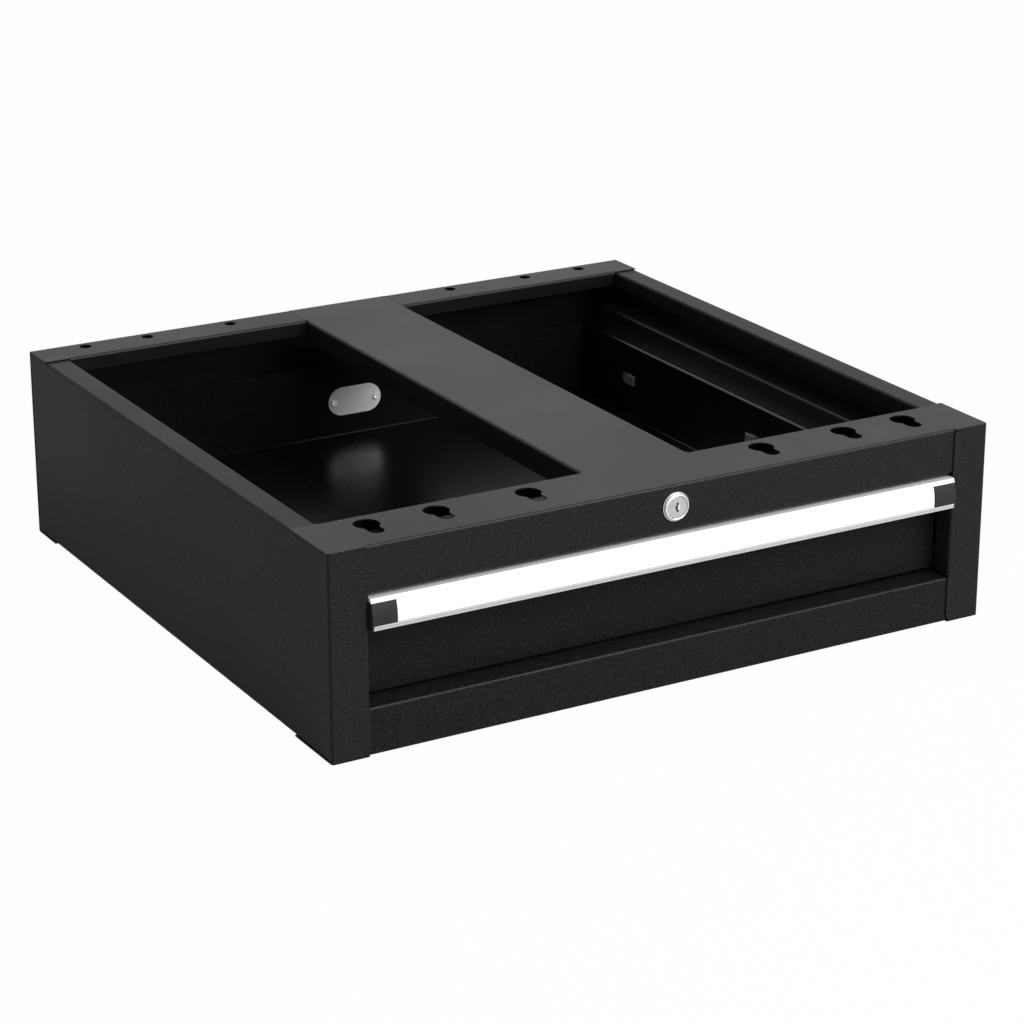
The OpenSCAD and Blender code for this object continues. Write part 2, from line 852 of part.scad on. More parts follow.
// A ball cage: web and two flanges with a hole at every ball
module ball_cage(side, web, ball_x, row_z) {
    tip = ball_x - ball_hole_r - cage_t;
    color(chrome)
        placed()
            on_side(side)
                difference() {
                    along_y(cage_start, cage_start + cage_l)
                        translate([0, runner_z])
                            channel(web + cage_t, web, tip, row_z + cage_t / 2, cage_t);
                    for (k = [0 : row_balls - 1])
                        translate([ball_x, cage_start + (k + 0.5) * ball_pitch, runner_z])
                            cylinder(r = ball_hole_r, h = 2 * (row_z + cage_t), center = true);
                }
}

module ball_rows(side, ball_x, row_z) {
    color(chrome)
        placed()
            on_side(side)
                for (k = [0 : row_balls - 1])
                    for (up = sides)
                        translate([ball_x, cage_start + (k + 0.5) * ball_pitch, runner_z + up * row_z])
                            sphere(r = ball_d / 2, $fn = ball_facets);
}

module rail_buffer(side) {
    reach = outer_inside - trim_gap;
    color("#1c1c1e")
        placed()
            on_side(side)
                along_y(runner_end - buffer_l, runner_end)
                    translate([0, runner_z])
                        channel(outer_web, (outer_tip + outer_web) / 2, outer_tip + rail_t, reach,
                                reach * 2 / 3);
}

// Countersunk screws that hold the outer rails to their brackets
module bracket_screws() {
    color(zinc)
        placed()
            for (side = sides)
                on_side(side)
                    for (d = rail_screw_depths())
                        difference() {
                            union() {
                                rail_screw_cone(d, rail_screw_d / 2);
                                rod_x(rail_screw_d / 2, outer_web + eps,
                                      bracket_face + sheet_t + rail_screw_tip, d, runner_z);
                            }
                            rod_x(rail_screw_d / 3, outer_web - cut, outer_web + countersink / 2,
                                  d, runner_z);
                        }
}

// A pan-head screw on the Z axis: its head stands on the level zero, its shank points down
module pan_screw(d, length, head_d, head_h) {
    arm = recess_span * head_d;
    difference() {
        union() {
            cylinder(d = head_d, h = head_h);
            translate([0, 0, -length])
                cylinder(d = d, h = length + eps);
        }
        for (turn = [0, 90])
            rotate(turn)
                translate([-arm / 2, -recess_w / 2, head_h / 2])
                    cube([arm, recess_w, head_h]);
    }
}

// Pan-head screws that lock the inner rails to the tray's walls
module tray_screws() {
    color(zinc)
        placed()
            for (side = sides)
                on_side(side)
                    translate([tray_half - drawer_t, rail_screw_depths()[0], runner_z])
                        rotate([0, -90, 0])
                            pan_screw(rail_screw_d, drawer_t + rail_t + tray_screw_tip,
                                      pan_head_d, pan_head_h);
}

module drawer_tray() {
    mid = drawer_t / 2;
    wall_x = tray_half - mid;
    rim_x = tray_half - drawer_t + rim_w - mid;
    floor_z = tray_bottom_z + mid;
    rim_z = tray_top_z - mid;
    inner_x = wall_x - mid;
    screw_d = rail_screw_depths()[0];
    color(drawer_coat)
        placed()
            difference() {
                union() {
                    along_y(front_back, tray_rear)
                        sheet([
                            [-rim_x, tray_top_z - rim_lip],
                            [-rim_x, rim_z],
                            [-wall_x, rim_z],
                            [-wall_x, floor_z],
                            [wall_x, floor_z],
                            [wall_x, rim_z],
                            [rim_x, rim_z],
                            [rim_x, tray_top_z - rim_lip]
                        ], drawer_t);
                    for (d = [front_back, tray_rear - drawer_t]) {
                        span([-inner_x - eps, d, tray_bottom_z + eps],
                             [inner_x + eps, d + drawer_t, tray_bottom_z + tray_join_w]);
                        for (side = sides)
                            on_side(side)
                                span([inner_x - tray_join_w, d, tray_bottom_z + tray_join_w - eps],
                                     [inner_x + eps, d + drawer_t, tray_top_z - drawer_t - bend_r]);
                    }
                }
                for (side = sides)
                    on_side(side) {
                        rod_x(rail_hole_r, inner_x - cut, tray_half + cut, screw_d, runner_z);
                        for (d = hook_depths())
                            hook_slot(d);
                    }
            }
}

// Obround slot in the tray's wall where a hook of the rail comes through
module hook_slot(d) {
    r = hook_slot_h / 2;
    reach = hook_slot_l / 2 - r;
    low = tray_half - drawer_t - cut;
    high = tray_half + cut;
    for (step = sides)
        rod_x(r, low, high, d + step * reach, runner_z);
    span([low, d - reach, runner_z - r], [high, d + reach, runner_z + r]);
}

// An obround outline, centred on the origin
module obround(w, h) {
    for (side = sides)
        translate([side * (w - h) / 2, 0])
            circle(h / 2);
    square([w - h, h], center = true);
}

module drawer_back() {
    inner_x = tray_half - drawer_t - trim_gap;
    low = tray_bottom_z + drawer_t;
    color(drawer_coat)
        placed() {
            difference() {
                span([-inner_x, back_wall_face, low + bend_r],
                     [inner_x, back_wall_face + drawer_t, tray_top_z]);
                along_y(back_wall_face - cut, back_wall_face + drawer_t + cut)
                    translate([0, plate_z])
                        obround(port_w, port_h);
                for (side = sides)
                    rod_y(plate_hole_r, back_wall_face - cut, back_wall_face + drawer_t + cut,
                          side * plate_screw_pitch / 2, plate_z);
            }
            span([-tab_x - tab_w / 2, back_wall_face + eps, tray_top_z - drawer_t],
                 [-tab_x + tab_w / 2, back_wall_face + drawer_t + tab_l, tray_top_z]);
        }
}

module drawer_front() {
    mid = drawer_t / 2;
    fold_half = front_half - front_fold_inset;
    slot_half = cam_w / 2 + cam_gap;
    slot_reach = sqrt(pow(cam_l, 2) - pow(lock_z - front_top_z, 2)) + cam_gap;
    face_d = front_recess + mid;
    color(drawer_coat)
        placed()
            difference() {
                union() {
                    along_x(-fold_half, fold_half)
                        sheet([
                            [front_recess + front_top_fold - mid, front_top_z - front_fold_lip],
                            [front_recess + front_top_fold - mid, front_top_z - mid],
                            [face_d, front_top_z - mid],
                            [face_d, front_bottom_z + mid],
                            [front_recess + front_bottom_fold, front_bottom_z + mid]
                        ], drawer_t);
                    for (side = sides)
                        on_side(side)
                            span([fold_half - eps, front_recess, front_bottom_z + bend_r + drawer_t],
                                 [front_half, front_back, front_top_z - bend_r - drawer_t]);
                }
                for (side = sides)
                    on_side(side)
                        span([tray_half - drawer_t - sheet_gap, front_back + cut, tray_bottom_z],
                             [tray_half - drawer_t + rim_w + sheet_gap,
                              front_recess + front_top_fold + cut, tray_top_z + sheet_gap]);
                span([-slot_half, front_back + eps, front_top_z - drawer_t - cut],
                     [slot_reach, cam_start + cam_t + cam_gap, front_top_z + cut]);
                for (side = sides)
                    for (x = handle_screw_xs)
                        rod_y(handle_screw_d / 2 + screw_gap, front_recess - cut, front_back + cut,
                              side * x, handle_screw_z);
            }
}

module port_cover() {
    color("#8d8f92")
        placed()
            difference() {
                along_y(plate_face, back_wall_face)
                    translate([0, plate_z])
                        obround(plate_w, plate_h);
                for (side = sides)
                    rod_y(plate_hole_r, plate_face - cut, back_wall_face + cut,
                          side * plate_screw_pitch / 2, plate_z);
            }
}

module port_cover_screws() {
    color(zinc)
        placed()
            for (side = sides)
                translate([side * plate_screw_pitch / 2, plate_face, plate_z])
                    rotate([90, 0, 0])
                        pan_screw(plate_screw_d, plate_screw_l, small_head_d, small_head_h);
}

// Ring of the handle's curved face between two radii, in depth and height
module face_ring(r_from, r_to, z_from, z_to) {
    intersection() {
        translate([face_centre_d, face_centre_z])
            difference() {
                circle(r_to, $fn = face_facets);
                circle(r_from, $fn = face_facets);
            }
        translate([-handle_proud - cut, z_from])
            square([handle_face_r, z_to - z_from]);
    }
}

// Section of the handle: curved face, web and fixing flange
module handle_section() {
    difference() {
        face_ring(handle_back_r, handle_face_r, handle_bottom_z, handle_top_z);
        face_ring(channel_r, handle_face_r + cut, label_z, label_top_z);
        round_off([round_d, round_z], handle_round, 90, round_a);
    }
    translate([0, handle_top_z - handle_flange_t])
        square([front_recess, handle_flange_t]);
    translate([front_recess - handle_flange_t, handle_top_z - handle_flange_h])
        square([handle_flange_t, handle_flange_h]);
}

module handle_profile() {
    color("#d9dadc")
        placed()
            difference() {
                along_x(-handle_half, handle_half)
                    handle_section();
                for (side = sides)
                    on_side(side) {
                        along_x(handle_half - cap_w, handle_half + cut)
                            face_ring(handle_face_r - cap_depth - cut, handle_face_r + cut,
                                      label_z, label_top_z);
                        along_x(handle_half - cap_plate, handle_half + cut)
                            face_ring(handle_face_r - cap_depth - cut, handle_face_r + cut,
                                      handle_bottom_z - cut, label_top_z);
                    }
                for (side = sides)
                    for (x = handle_screw_xs)
                        rod_y(handle_screw_d / 2 + screw_gap / 2,
                              front_recess - handle_flange_t - cut, front_recess + cut,
                              side * x, handle_screw_z);
            }
}

module label_strip() {
    reach = handle_half - cap_w - trim_gap;
    color("#f4f4f2")
        placed()
            along_x(-reach, reach)
                face_ring(channel_r, channel_r + label_t,
                          label_z + trim_gap, label_z + label_h - trim_gap);
}

module end_cap(side) {
    color("#3b3b3d")
        placed()
            on_side(side) {
                along_x(handle_half - cap_w, handle_half)
                    face_ring(handle_face_r - cap_depth, handle_face_r, label_z, label_top_z);
                along_x(handle_half - cap_plate, handle_half)
                    face_ring(handle_face_r - cap_plate_d, handle_face_r,
                              handle_bottom_z, label_top_z);
            }
}

// Screws through the drawer front into the handle's fixing flange
module handle_screws() {
    color(zinc)
        placed()
            for (side = sides)
                for (x = handle_screw_xs)
                    translate([side * x, front_back, handle_screw_z])
                        rotate([-90, 0, 0])
                            pan_screw(handle_screw_d, drawer_t + handle_flange_t,
                                      pan_head_d, pan_head_h);
}

module lock_housing() {
    front = rail_face - bezel_h;
    bore_r = plug_d / 2 + plug_clearance;
    face_r = bezel_d / 2 - bezel_rim;
    color(chrome)
        placed()
            difference() {
                union() {
                    translate([0, rail_face, lock_z])
                        rotate([90, 0, 0])
                            cylinder(r1 = bezel_d / 2, r2 = bezel_d / 2 - bezel_rim / 2, h = bezel_h);
                    rod_y(barrel_d / 2, rail_face - eps, barrel_end, 0, lock_z);
                }
                rod_y(bore_r, front - cut, barrel_end + cut, 0, lock_z);
                rod_y(face_r, front - cut, front + face_recess, 0, lock_z);
            }
}

module lock_nut() {
    color(zinc)
        placed()
            difference() {
                translate([0, rail_back + nut_h, lock_z])
                    rotate([90, 0, 0])
                        cylinder(r = nut_af / sqrt(3), h = nut_h, $fn = hex_sides);
                rod_y(barrel_d / 2 + barrel_gap, rail_back - cut, rail_back + nut_h + cut, 0, lock_z);
            }
}

module lock_plug() {
    front = rail_face - bezel_h + face_recess;
    square_half = drive_square / 2;
    color(chrome)
        placed()
            difference() {
                union() {
                    rod_y(plug_d / 2, front, cam_start, 0, lock_z);
                    span([-square_half, cam_start - eps, lock_z - square_half],
                         [square_half, cam_start + cam_t, lock_z + square_half]);
                }
                along_y(front - cut, front + key_slot_depth)
                    translate([0, lock_z])
                        rotate(90)
                            obround(key_slot_h, key_slot_w);
                rod_y(cam_screw_d / 2 + screw_gap, cam_start + cam_t - cam_screw_l - cut,
                      cam_start + cam_t + cut, 0, lock_z);
            }
}

module lock_cam() {
    hole = drive_square / 2 + screw_gap / 2;
    tip = cam_l - cam_w / 2;
    color(zinc)
        placed()
            difference() {
                along_y(cam_start, cam_start + cam_t)
                    translate([0, lock_z]) {
                        circle(cam_w / 2);
                        translate([0, -cam_w / 2])
                            square([tip, cam_w]);
                        translate([tip, 0])
                            circle(cam_w / 2);
                    }
                span([-hole, cam_start - cut, lock_z - hole],
                     [hole, cam_start + cam_t + cut, lock_z + hole]);
            }
}

module cam_screw() {
    head = cam_start + cam_t;
    color(zinc)
        placed()
            union() {
                translate([0, head + cam_screw_h, lock_z])
                    rotate([90, 0, 0])
                        cylinder(r = cam_screw_af / sqrt(3), h = cam_screw_h, $fn = hex_sides);
                rod_y(cam_screw_d / 2, head - cam_screw_l, head + eps, 0, lock_z);
            }
}

side_panel(-1);  // left_side_panel
side_panel(1);  // right_side_panel
front_frame();
back_panel();
bottom_rail();
runner_bracket(-1);  // left_runner_bracket
runner_bracket(1);  // right_runner_bracket
outer_rail(-1);  // left_outer_rail
outer_rail(1);  // right_outer_rail
middle_rail(-1);  // left_middle_rail
middle_rail(1);  // right_middle_rail
inner_rail(-1);  // left_inner_rail
inner_rail(1);  // right_inner_rail
ball_cage(-1, outer_cage_web, outer_ball_x, outer_row_z);  // left_outer_cage
ball_cage(1, outer_cage_web, outer_ball_x, outer_row_z);  // right_outer_cage
ball_cage(-1, inner_cage_web, inner_ball_x, inner_row_z);  // left_inner_cage
ball_cage(1, inner_cage_web, inner_ball_x, inner_row_z);  // right_inner_cage
ball_rows(-1, outer_ball_x, outer_row_z);  // left_outer_balls
ball_rows(1, outer_ball_x, outer_row_z);  // right_outer_balls
ball_rows(-1, inner_ball_x, inner_row_z);  // left_inner_balls
ball_rows(1, inner_ball_x, inner_row_z);  // right_inner_balls
rail_buffer(-1);  // left_rail_buffer
rail_buffer(1);  // right_rail_buffer
bracket_screws();
tray_screws();
drawer_tray();
drawer_back();
drawer_front();
port_cover();
port_cover_screws();
handle_profile();
label_strip();
end_cap(-1);  // left_end_cap
end_cap(1);  // right_end_cap
handle_screws();
lock_housing();
lock_nut();
lock_plug();
lock_cam();
cam_screw();
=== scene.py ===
"""Looks of the drawer unit: coated sheet steel, zinc runners, aluminium handle and cam lock."""

import json
import math

import bmesh
import bpy
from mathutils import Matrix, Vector


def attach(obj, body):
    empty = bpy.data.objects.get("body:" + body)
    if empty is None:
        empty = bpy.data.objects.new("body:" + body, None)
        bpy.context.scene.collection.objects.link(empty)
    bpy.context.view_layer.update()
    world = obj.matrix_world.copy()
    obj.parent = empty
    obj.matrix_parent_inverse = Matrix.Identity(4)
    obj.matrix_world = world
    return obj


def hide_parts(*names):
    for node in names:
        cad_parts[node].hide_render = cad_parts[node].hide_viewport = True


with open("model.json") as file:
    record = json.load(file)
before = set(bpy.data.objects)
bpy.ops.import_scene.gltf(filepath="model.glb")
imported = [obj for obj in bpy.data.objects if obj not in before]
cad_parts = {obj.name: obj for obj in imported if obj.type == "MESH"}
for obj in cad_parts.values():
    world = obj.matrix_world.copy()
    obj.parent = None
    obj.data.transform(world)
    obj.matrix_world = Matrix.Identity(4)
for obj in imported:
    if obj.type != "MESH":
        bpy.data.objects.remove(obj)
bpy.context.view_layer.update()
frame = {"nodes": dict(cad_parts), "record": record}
scene = bpy.context.scene

# Camera: its place in metres, its direction in degrees, its lens and sensor in millimetres
CAMERA_AT = (-1.1812, -2.0779, 0.9260)
CAMERA_AZIMUTH = 29.98
CAMERA_ELEVATION = 20.07
CAMERA_LENS = 109.66
CAMERA_SENSOR = 36

# Lamp, world and floor: places and sizes in metres, power in watts, all else as shares of 1
KEY_AT = (1.1, -2.4, 2.4)
KEY_AIM = (0, -0.1, 0.1)
KEY_SIZE = (3.0, 3.0)
KEY_POWER = 182
WORLD_LEVEL = 0.18
WORLD_WHITE_SEEN, WORLD_WHITE_MIRRORED = 1.0, 1.0
FLOOR_HALF = 20.0
FLOOR_GREY = 0.62
FLOOR_ROUGHNESS = 0.9
FLOOR_WHITE_SEEN, FLOOR_WHITE_MIRRORED = 0.98, 0.3

# Sizes of the pieces are in millimetres: depths behind the posts' front, heights above the floor
MM = 0.001
FRONT_Y = -272.3

# Handle: radii of its round face, of the label channel and of its back, round one centre
HANDLE_HALF = 255.0
FACE_CENTRE = (32.6, 104.5)
FACE_R = 38.0
CHANNEL_R = 36.0
BACK_R = 34.4

# Heights of the lips and the channel between them; all but the top are 0.5 to 0.6 above the solid's
LIP_BOTTOM, LABEL_BOTTOM, LABEL_TOP, LIP_TOP = 97.2, 101.0, 117.8, 121.1

# Roundings of the face's top and bottom edge, and grooves in the lips as height, width and depth
TOP_ROUND, LOW_ROUND = 1.3, 0.9
UPPER_GROOVE = (119.1, 0.25, 0.15)
LOWER_GROOVE = (99.3, 0.7, 0.8)
JOIN_GAP = 0.1

# Handle's top web and the flange that hangs from its rear
WEB_LOW = 119.1
FLANGE_FRONT, FLANGE_BACK, FLANGE_LOW = 18.0, 20.0, 102.1

# Label strip and end caps: a cap is a block in the channel's end and a thin plate outside it
LABEL_THICK = 1.4
CAP_W, CAP_PLATE = 20.0, 1.0
CAP_BACK_R, CAP_PLATE_R = 33.0, 28.0
CAP_GAP = 0.25

# Lock: its axis as width and height, the depths of its face and of its rear ends
LOCK_CENTRE = (0, 143.0)
LOCK_FRONT, HOUSING_BACK, PLUG_BACK = -1.6, 22.0, 22.2
PLUG_R = 6.5

# Key slot: half sizes, radius of its round middle at the face and inside, depths of its parts
SLOT_HALF_W, SLOT_HALF_H = 1.0, 3.8
SLOT_WIDE, SLOT_NARROW = 2.2, 1.0
SLOT_SINK = 1.2
SLOT_WALL_BACK, SLOT_BACK = 4.0, 6.8
SLOT_WALL, SLOT_CUT = 0.28, 0.3

# Least sine or cosine that the slot's outline divides by
TINY = 1e-6

# Port's cover against its solid, along X, Y and Z
PORT_SCALE = (0.98, 1.0, 0.925)

# Steps of long arcs, of the lips' arcs, of short arcs, of the roundings and round a full turn
ARC_STEPS = 24
LIP_STEPS = 6
SHORT_STEPS = 4
ROUNDING_STEPS = 8
TURN_STEPS = 96

# Meshes: metres between corners that are one, angles of one plane and of an edge seen as sharp
WELD = 1e-6
PLANE = math.radians(0.2)
SHARP = math.radians(28)

# Part of a noise's range that is spread over a roughness
NOISE_LOW, NOISE_HIGH = 0.3, 0.7


def place_camera():
    azimuth, elevation = math.radians(CAMERA_AZIMUTH), math.radians(CAMERA_ELEVATION)
    look = Vector((
        math.sin(azimuth) * math.cos(elevation),
        math.cos(azimuth) * math.cos(elevation),
        -math.sin(elevation),
    ))
    camera = bpy.data.objects.new("camera", bpy.data.cameras.new("camera"))
    camera.data.lens = CAMERA_LENS
    camera.data.sensor_width = CAMERA_SENSOR
    camera.location = CAMERA_AT
    camera.rotation_mode = "QUATERNION"
    camera.rotation_quaternion = look.to_track_quat("-Z", "Y")
    scene.collection.objects.link(camera)
    scene.camera = camera


# Materials

class Finish:
    """A node material with one Principled shader and object coordinates in metres."""

    def __init__(self, name, **sockets):
        self.material = bpy.data.materials.new(name)
        self.material.use_nodes = True
        self.nodes = self.material.node_tree.nodes
        self.links = self.material.node_tree.links
        self.shader = self.nodes["Principled BSDF"]
        self.place = self.nodes.new("ShaderNodeTexCoord").outputs["Object"]
        for socket, value in sockets.items():
            self.shader.inputs[socket.replace("_", " ")].default_value = value

    def stretched(self, scale):
        mapping = self.nodes.new("ShaderNodeMapping")
        mapping.inputs["Scale"].default_value = scale
        self.links.new(self.place, mapping.inputs["Vector"])
        return mapping.outputs["Vector"]

    def noise(self, scale, detail, vector=None):
        node = self.nodes.new("ShaderNodeTexNoise")
        node.inputs["Scale"].default_value = scale
        node.inputs["Detail"].default_value = detail
        self.links.new(vector or self.place, node.inputs["Vector"])
        return node.outputs["Fac"]

    def colour(self, source, stops):
        """Base colour from a source: each stop is (position, colour or grey)."""
        node = self.nodes.new("ShaderNodeValToRGB")
        ramp = node.color_ramp
        while len(ramp.elements) < len(stops):
            ramp.elements.new(0.5)
        for element, (position, value) in zip(ramp.elements, stops):
            element.position = position
            element.color = (*value, 1) if isinstance(value, tuple) else (value, value, value, 1)
        self.links.new(source, node.inputs["Fac"])
        self.links.new(node.outputs["Color"], self.shader.inputs["Base Color"])

    def roughness(self, source, middle, below, above):
        """Roughness from a source, a little below and above its middle value."""
        node = self.nodes.new("ShaderNodeMapRange")
        for socket, value in (("From Min", NOISE_LOW), ("From Max", NOISE_HIGH),
                              ("To Min", middle - below), ("To Max", middle + above)):
            node.inputs[socket].default_value = value
        self.links.new(source, node.inputs["Value"])
        self.links.new(node.outputs["Result"], self.shader.inputs["Roughness"])

    def bump(self, source, strength, distance):
        node = self.nodes.new("ShaderNodeBump")
        node.inputs["Strength"].default_value = strength
        node.inputs["Distance"].default_value = distance
        self.links.new(source, node.inputs["Height"])
        self.links.new(node.outputs["Normal"], self.shader.inputs["Normal"])


def grey_pair(grey, swing):
    return grey * (1 - swing), grey * (1 + swing)


def darker(colour, share):
    return tuple(c * share for c in colour)


def powder_coat(name, grey, swing, roughness, specular, grain=0.00006):
    """Baked powder coat: a fine pebbled skin with small lighter flecks."""
    finish = Finish(name, Specular_IOR_Level=specular)
    pebble = finish.noise(scale=1150, detail=3)
    low, high = grey_pair(grey, swing)
    finish.colour(pebble, [(0.37, low), (0.55, grey), (0.67, high * 1.5)])
    finish.roughness(finish.noise(scale=7, detail=3), roughness, below=0.03, above=0.03)
    finish.bump(pebble, strength=0.6, distance=grain)
    return finish.material


def brushed_metal(name, colour, roughness, lines, metallic):
    """Metal with fine drawn lines, or with an even grain where the three scales are the same."""
    finish = Finish(name, Metallic=metallic)
    drawn = finish.noise(scale=1, detail=3, vector=finish.stretched(lines))
    finish.colour(drawn, [(0.35, darker(colour, 0.93)), (0.65, colour)])
    finish.roughness(drawn, roughness, below=0.04, above=0.04)
    finish.bump(drawn, strength=0.25, distance=0.00001)
    return finish.material


def plated_metal(name, colour, roughness, clouds=60):
    """Zinc-plated or polished metal with faint clouds in its plating."""
    finish = Finish(name, Metallic=1.0)
    cloud = finish.noise(scale=clouds, detail=4)
    finish.colour(cloud, [(0.3, darker(colour, 0.88)), (0.7, colour)])
    finish.roughness(cloud, roughness, below=0.03, above=0.05)
    finish.bump(finish.noise(scale=1500, detail=2), strength=0.15, distance=0.00002)
    return finish.material


def plastic(name, grey, roughness, specular=0.35, grain=0.00003, scale=1600):
    """Plastic with a fine matt skin."""
    finish = Finish(name, Specular_IOR_Level=specular)
    skin = finish.noise(scale, detail=2)
    low, high = grey_pair(grey, 0.06)
    finish.colour(skin, [(0.3, low), (0.7, high)])
    finish.roughness(skin, roughness, below=0.04, above=0.04)
    finish.bump(skin, strength=0.3, distance=grain)
    return finish.material


CASING_COAT = powder_coat("casing_coat_look", grey=0.0068, swing=1.0, roughness=0.41, specular=0.19)
# Painted shade: the casing coat made darker for the back panel and runner brackets, which sit in the
# box's shade
INNER_PAINTED_SHADE_COAT = powder_coat("inner_coat_painted_shade_look", grey=0.0026, swing=1.0, roughness=0.41, specular=0.185)
# Painted light: the casing coat with a lighter grey and less gloss, set for how light falls on the
# side panels
SIDE_PAINTED_LIGHT_COAT = powder_coat("side_coat_painted_light_look", grey=0.0160, swing=0.45, roughness=0.40, specular=0.060)
# Painted shade: a copy of the casing coat with less gloss, so the bottom rail's shelf under the handle
# stays as dark as its shade
RAIL_PAINTED_SHADE_COAT = powder_coat("bottom_rail_look", grey=0.0072, swing=1.0, roughness=0.40, specular=0.125)
# Painted light: the casing coat with a lighter grey and less gloss, to lift the drawer front in its
# shaded recess
FRONT_PAINTED_LIGHT_COAT = powder_coat("drawer_front_look", grey=0.0078, swing=0.85, roughness=0.42, specular=0.10)
# Painted shade: a near-black copy of the casing coat for the drawer's inside; its gloss gives the real
# reflections on the drawer floor
TRAY_PAINTED_SHADE_COAT = powder_coat(
    "drawer_tray_look", grey=0.0006, swing=0.30, roughness=0.27, specular=0.44, grain=0.00002)
# Painted shade: a darker, almost glossless copy of the casing coat for the drawer's back wall
BACK_PAINTED_SHADE_COAT = powder_coat(
    "drawer_back_look", grey=0.0034, swing=0.60, roughness=0.42, specular=0.04, grain=0.00003)

ZINC = plated_metal("runner_zinc_look", (0.42, 0.425, 0.43), roughness=0.44)
BALL_STEEL = plated_metal("ball_steel_look", (0.66, 0.66, 0.66), roughness=0.12)
CHROME = plated_metal("lock_chrome_look", (0.93, 0.93, 0.93), roughness=0.20, clouds=300)
LOCK_FACE = plated_metal("lock_face_look", (0.60, 0.60, 0.60), roughness=0.38, clouds=300)
SCREW_ZINC = brushed_metal(
    "screw_zinc_look", (0.85, 0.85, 0.85), roughness=0.22, lines=(300, 300, 300), metallic=0.6)
ALUMINIUM = brushed_metal(
    "handle_aluminium_look", (0.60, 0.60, 0.605), roughness=0.45, lines=(2, 1600, 1600), metallic=0.25)
PORT_PLATE = brushed_metal(
    "port_plate_look", (0.72, 0.72, 0.72), roughness=0.64, lines=(700, 700, 700), metallic=0.45)

LABEL = plastic("label_white_look", grey=0.92, roughness=0.5, specular=0.25, grain=0.00001, scale=900)
CAP_PLASTIC = plastic("cap_plastic_look", grey=0.023, roughness=0.55, specular=0.15)
BUFFER = plastic("buffer_plastic_look", grey=0.03, roughness=0.55)

SLOT_LOOKS = {
    "casing_coat": CASING_COAT,
    "drawer_coat": TRAY_PAINTED_SHADE_COAT,
    "runner_zinc": ZINC,
    "ball_steel": BALL_STEEL,
    "screw_zinc": SCREW_ZINC,
    "handle_aluminium": ALUMINIUM,
    "label_white": LABEL,
    "cap_plastic": CAP_PLASTIC,
    "port_plastic": PORT_PLATE,
    "buffer_plastic": BUFFER,
    "lock_chrome": CHROME,
}


# Pieces

def body_of(node):
    for body, members in frame["record"]["behaviour"]["bodies"].items():
        if node in members:
            return body
    raise KeyError(node)


def show(mesh, name, nodes, finish, edge, segments=2):
    """Turns a mesh into a shown piece that stands for CAD nodes of one body."""
    mesh.materials.clear()
    mesh.materials.append(finish)
    piece = bpy.data.objects.new(name, mesh)
    scene.collection.objects.link(piece)
    if edge:
        bevel = piece.modifiers.new("edges", "BEVEL")
        bevel.width = edge * MM
        bevel.segments = segments
        bevel.limit_method = "ANGLE"
        bevel.angle_limit = SHARP
        bevel.harden_normals = True
        bevel.use_clamp_overlap = True
    flat = piece.modifiers.new("flat_faces", "WEIGHTED_NORMAL")
    flat.keep_sharp = True
    flat.weight = 100
    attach(piece, body_of(nodes[0]))
    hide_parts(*nodes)


def smoothed(form, mesh):
    """Writes a bmesh to a mesh: smooth faces, sharp where two faces meet at an angle."""
    for face in form.faces:
        face.smooth = True
    for edge in form.edges:
        edge.smooth = edge.is_manifold and edge.calc_face_angle(0) < SHARP
    form.to_mesh(mesh)
    form.free()
    mesh.update()


def refined(node, finish, edge=0.2, segments=2, scale=(1, 1, 1)):
    """A copy of a CAD node with whole faces and softened edges, scaled about its middle."""
    source = frame["nodes"][node].data
    corners = [v.co for v in source.vertices]
    low = Vector(min(c[k] for c in corners) for k in range(3))
    high = Vector(max(c[k] for c in corners) for k in range(3))
    middle = (low + high) / 2
    places = [middle + (c - middle) * Vector(scale) for c in corners]
    mesh = bpy.data.meshes.new(node + "_look")
    mesh.from_pydata(places, [], [p.vertices[:] for p in source.polygons])
    form = bmesh.new()
    form.from_mesh(mesh)
    bmesh.ops.remove_doubles(form, verts=form.verts, dist=WELD)
    bmesh.ops.dissolve_limit(form, angle_limit=PLANE, verts=form.verts, edges=form.edges)
    smoothed(form, mesh)
    show(mesh, node + "_look", [node], finish, edge, segments)


def at(depth):
    """A depth behind the posts' front, in millimetres, as a place in metres."""
    return (FRONT_Y + depth) * MM


def join_rings(form, one, two):
    """Four-sided faces between two rings of as many corners."""
    count = len(one)
    for k in range(count):
        after = (k + 1) % count
        form.faces.new((one[k], one[after], two[after], two[k]))


def show_form(form, name, nodes, finish, edge):
    """Turns a closed bmesh into a shown piece."""
    bmesh.ops.recalc_face_normals(form, faces=form.faces)
    mesh = bpy.data.meshes.new(name)
    smoothed(form, mesh)
    show(mesh, name, nodes, finish, edge)


def drawn_out(name, nodes, finish, sections, edge):
    """Closed forms drawn out along X: each section is (points in depth and height, from, to)."""
    form = bmesh.new()
    for points, start, end in sections:
        one, two = [
            [form.verts.new((x * MM, at(depth), z * MM)) for depth, z in points]
            for x in (start, end)
        ]
        join_rings(form, one, two)
        form.faces.new(one[::-1])
        form.faces.new(two)
    show_form(form, name, nodes, finish, edge)


